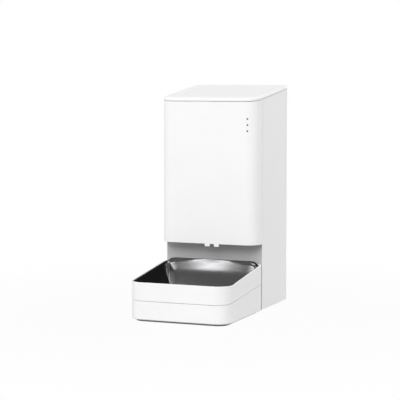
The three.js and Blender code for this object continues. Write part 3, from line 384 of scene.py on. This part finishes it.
# Moulded plastic: even colour, a broad drift in gloss and a fine spark-eroded grain.
def mouldedPlastic(name, color, roughness, grain=0.12, drift=0.012, specular=0.5):
    finish, tree, shader = newFinish(name, color, roughness, 0.0, specular)
    broad = objectNoise(tree, grains["drift"], 2)
    tint(tree, shader, broad, [c * (1 - drift) for c in color], color)
    gloss(tree, shader, broad, *[roughness + change for change in grains["driftGloss"]])
    bump(tree, shader, objectNoise(tree, grains["spark"], 2), grain, grains["sparkHeight"])
    return finish


def brushedMetal(name, color, roughness, stretch, scale=60, grain=0.08):
    finish, tree, shader = newFinish(name, color, roughness, 1.0)
    lines = objectNoise(tree, scale, 4, stretch)
    gloss(tree, shader, lines, *[roughness * change for change in grains["brushGloss"]])
    bump(tree, shader, lines, grain, grains["brushHeight"])
    return finish


# Pressed steel, bright-polished, with painted dark reflections on its walls (a near-black colour that stands in for a
# dark room mirrored in them) and paler on its satin floor; the heights are in metres.
def steelWithPaintedDarkWalls(name, color, floorColor, roughness, paintedDarkAbove, floorBelow):
    finish = brushedMetal(name, color, roughness, (1, 14, 14), grain=0.05)
    tree = finish.node_tree
    height = tree.nodes.new("ShaderNodeSeparateXYZ")
    tree.links.new(objectPlace(tree), height.inputs["Vector"])
    share = spread(tree, height.outputs["Z"], (paintedDarkAbove, floorBelow), (0, 1))
    tint(tree, tree.nodes["Principled BSDF"], share, color, floorColor)
    return finish


def softRubber(name, color):
    finish, tree, shader = newFinish(name, color, grains["rubberRoughness"])
    fine = objectNoise(tree, grains["rubber"], 4)
    tint(tree, shader, fine, [c * grains["rubberShade"] for c in color], color)
    bump(tree, shader, fine, grains["rubberDepth"], grains["rubberHeight"])
    return finish


finishes = {
    "white_shell": mouldedPlastic("satin white shell", (0.9, 0.9, 0.897), 0.48, specular=0.25),
    "white_inner": mouldedPlastic("matt white inner moulding", (0.76, 0.76, 0.755), 0.5, 0.2),
    # Painted shade: a mid grey put on the white dock wall and on the cover's underside, standing in for the shade in
    # the recess under the cover.
    "dock_lining": mouldedPlastic("matt dock lining", (0.5, 0.5, 0.5), 0.6, 0.2, specular=0.1),
    "bin_plastic": mouldedPlastic("smooth bin plastic", (0.66, 0.68, 0.67), 0.3, 0.05),
    # Painted reflection: the bowl's walls are near black to stand in for dark reflections; its floor is paler.
    "bowl_steel": steelWithPaintedDarkWalls("bowl steel", (0.07, 0.07, 0.071), (0.36, 0.36, 0.365), 0.14, 0.036, 0.021),
    "seal_silicone": softRubber("seal silicone", (0.5, 0.52, 0.52)),
    "wheel_silicone": softRubber("wheel silicone", (0.28, 0.31, 0.32)),
    "foot_rubber": softRubber("foot rubber", (0.09, 0.09, 0.095)),
    "strip_rubber": softRubber("strip rubber", (0.32, 0.32, 0.325)),
    "gear_acetal": mouldedPlastic("gear acetal", (0.7, 0.66, 0.55), 0.35, 0.05),
    "board_green": mouldedPlastic("board lacquer", (0.012, 0.1, 0.045), 0.35, 0.1, 0.2),
    "black_plastic": mouldedPlastic("black plastic", (0.018, 0.018, 0.02), 0.45, 0.2, 0.1),
    "light_smoke": mouldedPlastic("smoked light guide", (0.06, 0.062, 0.068), 0.18, 0.0),
    "fastener_steel": brushedMetal("zinc plated steel", (0.62, 0.62, 0.61), 0.32, (1, 1, 1), 400),
    "magnet_nickel": brushedMetal("magnet nickel", (0.58, 0.58, 0.6), 0.25, (1, 1, 1), 300),
    "motor_case": brushedMetal("motor can", (0.6, 0.6, 0.61), 0.34, (1, 1, 12), 60),
    "cell_jacket": mouldedPlastic("cell jacket", (0.13, 0.15, 0.17), 0.3, 0.05),
    "contact_metal": brushedMetal("contact metal", (0.66, 0.66, 0.64), 0.28, (14, 1, 1), 80),
    "pouch_fabric": softRubber("drying pouch", (0.82, 0.81, 0.77)),
}
for part in frame["record"]["subparts"]:
    held = nodes[part["node"]]
    held.data.materials.clear()
    held.data.materials.append(finishes[part["material_slot"]])
print("finishes made")

# Tower: rear housing, with a lap that reaches behind the cover's edge.
housing = {
    "frontRadius": 0.8, "frontLimit": 0.4,
    "lapInset": 2.8, "lapWall": 1.5, "lapReach": 5, "lapRaise": 2.5, "lapDrop": 11,
    "releaseHalf": 12, "releaseLow": 321.3, "releaseHigh": 331.3, "releaseRound": 2, "reach": 5, "holeDepth": 12,
}


def makeHousing():
    dock, rear = feeder["dockY"], feeder["rearY"]
    openFrom = feeder["coverBottom"] + feeder["wall"]
    plan = dict(towerPlan, front=dock, frontRadius=housing["frontRadius"])
    bm = column(plan, feeder["floorGap"], feeder["aboveSeam"])
    bmesh.ops.bisect_plane(bm, geom=bm.verts[:] + bm.edges[:] + bm.faces[:], plane_co=(0, 0, openFrom), plane_no=up)
    upperFront = [f for f in facesFacing(bm, forward, housing["frontLimit"]) if f.calc_center_median().z > openFrom]
    dropFaces(bm, upperFront)
    dropFacing(bm, down, up)
    cutAtSeam(bm)
    thicken(bm, feeder["wall"])
    lap = column(inset(towerPlan, housing["lapInset"]), openFrom + housing["lapRaise"], feeder["aboveSeam"])
    dropFacing(lap, down, up)
    cutAway(lap, (0, dock + housing["lapReach"], 0), backward)
    cutAway(lap, (0, dock - housing["lapReach"], 0), forward)
    cutAtSeam(lap, housing["lapDrop"])
    thicken(lap, housing["lapWall"])
    addTo(bm, lap)
    made = objectFrom(bm, "housingShell")
    window = block((-housing["releaseHalf"], rear - housing["reach"], housing["releaseLow"]),
                   (housing["releaseHalf"], rear + housing["reach"], housing["releaseHigh"]))
    bevelEdges(window, edgesAlongY(window), housing["releaseRound"], 5)
    holes = [cylinder(rearWall[name + "Hole"], housing["holeDepth"], (rearWall[name + "X"], rear, rearWall[name + "Z"]),
                      "Y", 48) for name in ("button", "socket")]
    carve(made, [window, *holes])
    finishPiece(made, "tower", "white_shell", "main_housing")
    # The white dock wall below the cover gets the grey painted shade of the recess.
    paintShadeOnFaces(made, 1, dock, finishes["dock_lining"])


makeHousing()

# Tower: wrap-round front cover, with two tabs under its lower edge.
cover = {
    "gap": 0.3, "lowEdge": 0.4,
    "spoutHalf": 14.1, "spoutFront": -2.1, "spoutLow": 100, "spoutHigh": 110, "spoutPast": 3,
    "lightX": 64.3, "lightDrop": 26.2, "lightPitch": 9.2, "lightHole": 1.4, "lightReach": 8, "lights": 3,
    "tabMiddle": 6.6, "tabWidth": 8.2, "tabGap": 7, "tabDrop": 4, "tabRound": 1, "tabSetback": 0.05,
}


def makeCover():
    front, bottom, wall = feeder["coverFrontY"], feeder["coverBottom"], feeder["wall"]
    bm = column(towerPlan, bottom, feeder["aboveSeam"])
    dropFacing(bm, up)
    bevelEdges(bm, loopOf(facesFacing(bm, down)), cover["lowEdge"], 2)
    cutAway(bm, (0, feeder["dockY"] - cover["gap"], 0), backward)
    cutAtSeam(bm)
    thicken(bm, wall)
    for side in (-1, 1):
        near = cover["tabMiddle"] + side * cover["tabGap"] / 2
        left, right = sorted((near, near + side * cover["tabWidth"]))
        low = bottom - cover["tabDrop"]
        tab = block((left, front + cover["tabSetback"], low), (right, front + wall, bottom + wall / 2))
        bevelEdges(tab, [e for e in edgesAlongY(tab) if e.verts[0].co.z < low + same], cover["tabRound"], 4)
        addTo(bm, tab)
    made = objectFrom(bm, "frontCoverShell")
    half = cover["spoutHalf"]
    holes = [block((-half, cover["spoutFront"], cover["spoutLow"]),
                   (half, feeder["dockY"] + cover["spoutPast"], cover["spoutHigh"]))]
    for i in range(cover["lights"]):
        z = feeder["seamFront"] - cover["lightDrop"] - i * cover["lightPitch"]
        holes.append(cylinder(cover["lightHole"], cover["lightReach"], (cover["lightX"], front, z), "Y", 24))
    carve(made, holes)
    finishPiece(made, "tower", "white_shell", "front_cover")
    # The cover's white underside gets the grey painted shade of the recess.
    paintShadeOnFaces(made, 2, bottom, finishes["dock_lining"])


makeCover()

# Lid.
lid = {"gap": 0.6, "top": 5.97, "edge": 3, "wall": 2.2}


def makeLid():
    bm = column(towerPlan, lid["gap"], lid["top"])
    bevelEdges(bm, loopOf(facesFacing(bm, up)), lid["edge"], 8)
    dropFacing(bm, down)
    shear(bm, feeder["seamSlope"], feeder["coverFrontY"], feeder["seamFront"])
    thicken(bm, lid["wall"])
    finishPiece(objectFrom(bm, "lidTop"), "lid", "white_shell", "lid_shell", edge=0.3)


makeLid()
print("tower and lid made")

# Spout: a duct that widens from its mouth to its inlet.
spout = {
    "half": 12, "front": 0, "back": 10.3, "wall": 1.8, "round": 3, "drop": 1.6, "rise": 10,
    "inletMargin": 1.4, "inletDeeper": 1.8, "inletMiddle": 21.3, "inletSink": 0.3,
}


def makeSpout():
    wall = spout["wall"]
    mouth = {
        "left": -spout["half"] - wall, "right": spout["half"] + wall, "front": spout["front"] - wall,
        "back": spout["back"] + wall, "frontRadius": spout["round"], "backRadius": spout["round"],
    }
    inlet = boxOf("outlet_chute")[1]
    ductTop = feeder["coverBottom"] + spout["rise"]
    bm = column(mouth, feeder["coverBottom"] - spout["drop"], ductTop, 6)
    top = facesFacing(bm, up)
    raised = bmesh.ops.extrude_face_region(bm, geom=top)["geom"]
    verts = [v for v in raised if isinstance(v, bmesh.types.BMVert)]
    bmesh.ops.delete(bm, geom=top, context="FACES_ONLY")
    wider = (inlet.x - spout["inletMargin"]) / mouth["right"]
    bmesh.ops.translate(bm, vec=(0, -(mouth["front"] + mouth["back"]) / 2, 0), verts=verts)
    bmesh.ops.scale(bm, vec=(wider, spout["inletDeeper"], 1), verts=verts)
    bmesh.ops.translate(bm, vec=(0, spout["inletMiddle"], inlet.z - ductTop - spout["inletSink"]), verts=verts)
    dropFacing(bm, down, up)
    thicken(bm, wall)
    finishPiece(objectFrom(bm, "spoutDuct"), "tower", "white_shell", "outlet_chute", edge=0.25)


makeSpout()

# Tray: lower shell with two pads on its rear wall, and skid.
tray = {
    "low": 3.2, "aboveParting": 60, "wall": 2.5, "gap": 0.6, "footRound": 1.6,
    "lapWall": 1.5, "lapInset": 2.8, "lapBelow": 4, "lapAbove": 3.9, "skidInset": 7, "skidWidth": 7, "skidGap": 0.3,
    "padX": 52, "padHalf": 9, "padLow": 19, "padHigh": 33, "padRoot": 1, "padProud": 0.7, "padRound": 2,
}


def makeTrayBase():
    bm = column(trayPlan, tray["low"], tray["aboveParting"])
    bevelEdges(bm, loopOf(facesFacing(bm, down)), tray["footRound"], 5)
    cutAtSlope(bm, feeder["frontY"], partingAt(feeder["frontY"]), trayLines["partingSlope"])
    dropFacing(bm, up)
    thicken(bm, tray["wall"])
    for side in (-1, 1):
        x, half = side * tray["padX"], tray["padHalf"]
        pad = block((x - half, trayPlan["back"] - tray["padRoot"], tray["padLow"]),
                    (x + half, feeder["trayRearY"] + tray["padProud"], tray["padHigh"]))
        bevelEdges(pad, edgesAlongY(pad), tray["padRound"], 5)
        addTo(bm, pad)
    finishPiece(objectFrom(bm, "trayLowerShell"), "tray", "white_shell", "tray_base")


def makeSkid():
    bm = column(inset(trayPlan, tray["skidInset"]), 0, tray["low"] - tray["skidGap"])
    dropFacing(bm, down, up)
    thicken(bm, tray["skidWidth"])
    finishPiece(objectFrom(bm, "traySkidStrip"), "tray", "strip_rubber", "tray_skid", edge=0.5)


makeTrayBase()
makeSkid()

# Tray: bowl holder. Its tools are made with flat ends a span apart, which then move on to the sloping lines.
holder = {
    "edge": 0.6, "seat": 1.5, "ledge": 3.7, "ledgeWidth": 0.9, "runGap": 0.5, "span": 40, "beyond": 8,
    "openLow": 10, "openHigh": 110,
}


def holderLow(y):
    return partingAt(y) + tray["gap"]


def fitHeights(bm, lowAt, highAt):
    span = holder["span"]
    for v in bm.verts:
        v.co.z = lowAt(v.co.y) + v.co.z if v.co.z < span / 2 else highAt(v.co.y) + v.co.z - span


def makeBowlHolder():
    span, beyond = holder["span"], holder["beyond"]
    bm = column(trayPlan, 0, span)
    bevelEdges(bm, loopOf(facesFacing(bm, up)), holder["edge"], 4)
    fitHeights(bm, holderLow, rimAt)
    made = objectFrom(bm, "trayUpperShell")
    room = column(inset(trayPlan, tray["wall"]), 0, span)
    fitHeights(room, lambda y: holderLow(y) - beyond, lambda y: rimAt(y) - holder["ledge"])
    rebate = column(inset(bowlPlan, -holder["runGap"]), 0, span, 24)
    fitHeights(rebate, lambda y: rimAt(y) - holder["seat"], lambda y: rimAt(y) + beyond)
    opening = column(inset(bowlPlan, holder["ledgeWidth"]), holder["openLow"], holder["openHigh"], 24)
    carve(made, [room, rebate, opening])
    lap = column(inset(trayPlan, tray["lapInset"]), 0, span)
    dropFacing(lap, down, up)
    fitHeights(lap, lambda y: holderLow(y) - tray["lapBelow"], lambda y: holderLow(y) + tray["lapAbove"])
    thicken(lap, tray["lapWall"])
    tongue = objectFrom(lap, "tongue")
    merged = bmesh.new()
    merged.from_mesh(made.data)
    merged.from_mesh(tongue.data)
    merged.to_mesh(made.data)
    merged.free()
    bpy.data.objects.remove(tongue)
    finishPiece(made, "tray", "white_shell", "bowl_holder", edge=0.2)


makeBowlHolder()

# Steel bowl, pressed from one sheet: a rolled lip, steep sides, a wide floor radius and a rear wall that arches.
# The lip's points are mm inward and down; the side's are shares of the draft and of the height over the floor.
bowl = {
    "floor": 18.9, "wall": 0.9, "lip": 1.4, "draft": 26,
    "backCuts": 21, "arch": 3, "archFrom": 0.5, "archRamp": 3, "archReach": 36,
    "lipRoll": [(0, 0.3), (0.12, 0.09), (0.32, 0), (0.8, 0), (1.08, 0.08), (1.28, 0.28), (1.38, 0.6)],
    "side": [(0.001, 0.975), (0.009, 0.93), (0.026, 0.86), (0.052, 0.78), (0.086, 0.7), (0.14, 0.6), (0.208, 0.5),
             (0.295, 0.4), (0.396, 0.3), (0.497, 0.22), (0.604, 0.15), (0.71, 0.094), (0.823, 0.05), (0.92, 0.018),
             (1, 0)],
}


def makeBowl():
    bm = column(bowlPlan, -1, 0, 24)
    keep = facesFacing(bm, up)
    dropFaces(bm, [f for f in bm.faces if f not in keep])
    backEdge = [e for e in bm.edges if all(abs(v.co.y - bowlPlan["back"]) < same for v in e.verts)
                and e.calc_length() > bowlPlan["right"]]
    bmesh.ops.subdivide_edges(bm, edges=backEdge, cuts=bowl["backCuts"])
    middle = bm.faces[:]
    rings = [(inward, lambda lip, drop=drop: lip - drop) for inward, drop in bowl["lipRoll"]]
    for draft, rise in bowl["side"]:
        rings.append((bowl["lip"] + draft * bowl["draft"],
                      lambda lip, rise=rise: bowl["floor"] + rise * (lip - bowl["floor"])))
    plan = bowlPlan
    for i, (inward, heightAt) in enumerate(rings):
        if i:
            bmesh.ops.inset_region(bm, faces=middle, thickness=same, use_boundary=True, use_even_offset=True)
        verts = middle[0].verts[:]
        refit(verts, plan, inset(bowlPlan, inward))
        plan = inset(bowlPlan, inward)
        for v in verts:
            v.co.z = heightAt(lipAt(v.co, plan))
    for v in bm.verts:
        depth = lipAt(v.co, bowlPlan) - v.co.z - bowl["archFrom"]
        if v.co.y > bowlPlan["back"] - bowl["archReach"] and depth > 0:
            v.co.y -= bowl["arch"] * min(1, depth / bowl["archRamp"]) * (v.co.x / bowlPlan["right"]) ** 2
    bmesh.ops.solidify(bm, geom=bm.faces[:], thickness=bowl["wall"])
    finishPiece(objectFrom(bm, "steelBowl"), "bowl", "bowl_steel", "steel_bowl", edge=0, angle=60)


makeBowl()
print("tray and bowl made")

# Status lights.
light = {"radius": 1.1, "depth": 8.3, "tipRound": 0.4}


def makeLight(node):
    low, high = boxOf(node)
    guide = cylinder(light["radius"], light["depth"],
                     (cover["lightX"], low.y + light["depth"] / 2, (low.z + high.z) / 2), "Y", 24)
    bevelEdges(guide, loopOf(facesFacing(guide, forward)), light["tipRound"], 4)
    finishPiece(objectFrom(guide, camelCase(node)), "tower", "light_smoke", node, edge=0)


for place in ("top", "middle", "bottom"):
    makeLight(f"status_light_{place}")

# Buttons in the back wall: a dished pad on a flange.
feedButton = {"radius": 7, "flange": 8.2, "flangeDepth": 0.5, "rim": 1.4, "slope": 0.8, "dish": 0.5}
releaseButton = {
    "half": 11.5, "low": 321.8, "high": 330.8, "round": 1.6, "flangeDepth": 1.5, "rim": 0.9, "slope": 0.5, "dish": 0.5,
}


def makeFeedButton():
    low, high = boxOf("feed_button")
    depth, flangeDepth = high.y - low.y, feedButton["flangeDepth"]
    x, z = rearWall["buttonX"], rearWall["buttonZ"]
    cap = cylinder(feedButton["radius"], depth, (x, low.y + depth / 2, z), "Y", 64)
    dish(cap, facesFacing(cap, backward), feedButton)
    made = objectFrom(cap, "feedButtonCap")
    carve(made, [cylinder(feedButton["flange"], flangeDepth, (x, low.y + flangeDepth / 2, z), "Y", 64)], "UNION")
    finishPiece(made, "feed_button", "white_shell", "feed_button", edge=0.3)


def makeReleaseButton():
    low, high = boxOf("release_button")
    half = releaseButton["half"]
    pad = block((-half, low.y, releaseButton["low"]), (half, high.y, releaseButton["high"]))
    bevelEdges(pad, edgesAlongY(pad), releaseButton["round"], 5)
    dish(pad, facesFacing(pad, backward), releaseButton)
    made = objectFrom(pad, "releaseButtonPad")
    carve(made, [block(low, (high.x, low.y + releaseButton["flangeDepth"], high.z))], "UNION")
    finishPiece(made, "release_button", "white_shell", "release_button", edge=0.3)


makeFeedButton()
makeReleaseButton()

# Tower feet.
foot = {"radius": 5.6, "topRadius": 6.6, "rim": 1.6, "slope": 0.4, "dish": 0.6}


def makeFoot(node):
    low, high = boxOf(node)
    bm = cylinder(foot["radius"], high.z - low.z, (low + high) / 2, "Z", 40, foot["topRadius"])
    dish(bm, facesFacing(bm, down), foot)
    finishPiece(objectFrom(bm, camelCase(node)), "tower", "foot_rubber", node, edge=0.4)


for end in ("front", "rear"):
    for side in ("left", "right"):
        makeFoot(f"tower_foot_{end}_{side}")
print("small pieces made")

# The other solids keep their own shape, as merged copies with smooth curves and with fine edges in mm.
refining = {"mergeWithin": 0.000001, "flatWithin": 1, "mostCorners": 4}  # metres, degrees, corners of one face
edgeBySlot = {
    "white_inner": 0.3, "bin_plastic": 0.4, "gear_acetal": 0.12, "board_green": 0.15, "black_plastic": 0.25,
    "fastener_steel": 0.15, "magnet_nickel": 0.25, "motor_case": 0.3, "cell_jacket": 0.4, "contact_metal": 0.1,
    "seal_silicone": 0.3, "wheel_silicone": 0.3, "pouch_fabric": 0.8,
}


def refineNode(node, bodyName, slot):
    bm = bmesh.new()
    bm.from_mesh(nodes[node].data)
    bmesh.ops.remove_doubles(bm, verts=bm.verts, dist=refining["mergeWithin"])
    bmesh.ops.dissolve_limit(bm, angle_limit=math.radians(refining["flatWithin"]), verts=bm.verts, edges=bm.edges)
    bmesh.ops.triangulate(bm, faces=[face for face in bm.faces if len(face.verts) > refining["mostCorners"]])
    bmesh.ops.recalc_face_normals(bm, faces=bm.faces)
    mesh = bpy.data.meshes.new(camelCase(node))
    bm.to_mesh(mesh)
    bm.free()
    piece = bpy.data.objects.new(mesh.name, mesh)
    scene.collection.objects.link(piece)
    finishPiece(piece, bodyName, slot, node, edge=edgeBySlot[slot])


bodyOf = {name: body for body, members in frame["record"]["behaviour"]["bodies"].items() for name in members}
for part in frame["record"]["subparts"]:
    if part["material_slot"] in edgeBySlot:
        refineNode(part["node"], bodyOf[part["node"]], part["material_slot"])
print("inner pieces made")

# Floor, backdrop and light. Sizes are in metres, angles in degrees and powers in watts.
studio = {
    "ambient": 0.294, "floorHalf": 9000, "floorColor": 0.5, "floorRoughness": 0.9,
    "paper": 0.955, "paperNear": 0.25, "paperFar": 0.7, "lampReach": 8, "lampTarget": (0, -0.05, 0.15),
    "lamps": {
        "keyHigh": {"azimuth": 4, "elevation": 52, "size": (5.6, 2.2), "power": 77.5},
        "keyMid": {"azimuth": 4, "elevation": 38, "size": (5.6, 2.0), "power": 222},
        "keyLow": {"azimuth": 4, "elevation": 25, "size": (4.4, 1.8), "power": 144},
        "glint": {"azimuth": -21.5, "elevation": 6, "size": (0.42, 1.6), "power": 46},
        "right": {"azimuth": 87, "elevation": 18, "size": (3.6, 3.0), "power": 95.2},
        "left": {"azimuth": -75, "elevation": 25, "size": (3.6, 3.0), "power": 107},
        "rear": {"azimuth": 142, "elevation": 20, "size": (5.3, 4.0), "power": 236},
    },
}


def combine(tree, operation, first, second):
    node = tree.nodes.new("ShaderNodeMath")
    node.operation = operation
    tree.links.new(first, node.inputs[0])
    tree.links.new(second, node.inputs[1])
    return node.outputs["Value"]


# One where the camera, a reflection or a view through glass sees it, so that the white background is seen there too.
def seenDirectly(tree):
    path = tree.nodes.new("ShaderNodeLightPath")
    seen = path.outputs["Is Camera Ray"]
    for kind in ("Is Glossy Ray", "Is Transmission Ray"):
        seen = combine(tree, "MAXIMUM", seen, path.outputs[kind])
    return seen


def mixTo(tree, share, first, second, outputName):
    mix = tree.nodes.new("ShaderNodeMixShader")
    tree.links.new(share, mix.inputs["Fac"])
    tree.links.new(first, mix.inputs[1])
    tree.links.new(second, mix.inputs[2])
    tree.links.new(mix.outputs["Shader"], tree.nodes[outputName].inputs["Surface"])


# White paper: near the feeder a share of the real, shadowed light stays.
def makeFloor():
    bm = bmesh.new()
    bmesh.ops.create_grid(bm, x_segments=1, y_segments=1, size=studio["floorHalf"])
    floor = objectFrom(bm, "floor")
    finish, tree, shader = newFinish("floor paper", [studio["floorColor"]] * 3, studio["floorRoughness"])
    reach = tree.nodes.new("ShaderNodeVectorMath")
    reach.operation = "LENGTH"
    tree.links.new(objectPlace(tree), reach.inputs[0])
    share = spread(tree, reach.outputs["Value"], (studio["paperNear"], studio["paperFar"]), (studio["paper"], 1))
    white = tree.nodes.new("ShaderNodeEmission")
    mixTo(tree, combine(tree, "MULTIPLY", share, seenDirectly(tree)), shader.outputs["BSDF"],
          white.outputs["Emission"], "Material Output")
    floor.data.materials.append(finish)


def makeWorld():
    world = bpy.data.worlds.new("studio")
    scene.world = world
    world.use_nodes = True
    tree = world.node_tree
    ambient, white = tree.nodes["Background"], tree.nodes.new("ShaderNodeBackground")
    for node, strength in ((ambient, studio["ambient"]), (white, 1)):
        node.inputs["Color"].default_value = (1, 1, 1, 1)
        node.inputs["Strength"].default_value = strength
    mixTo(tree, seenDirectly(tree), ambient.outputs["Background"], white.outputs["Background"], "World Output")


def addSoftbox(name, lamp):
    data = bpy.data.lights.new(name, "AREA")
    data.shape = "RECTANGLE"
    data.size, data.size_y = lamp["size"]
    data.energy = lamp["power"]
    box = bpy.data.objects.new(name, data)
    scene.collection.objects.link(box)
    aim(box, lamp, studio["lampReach"], studio["lampTarget"])


makeFloor()
makeWorld()
for name, lamp in studio["lamps"].items():
    addSoftbox(name, lamp)
print("studio made")

scene.view_settings.view_transform = "Standard"
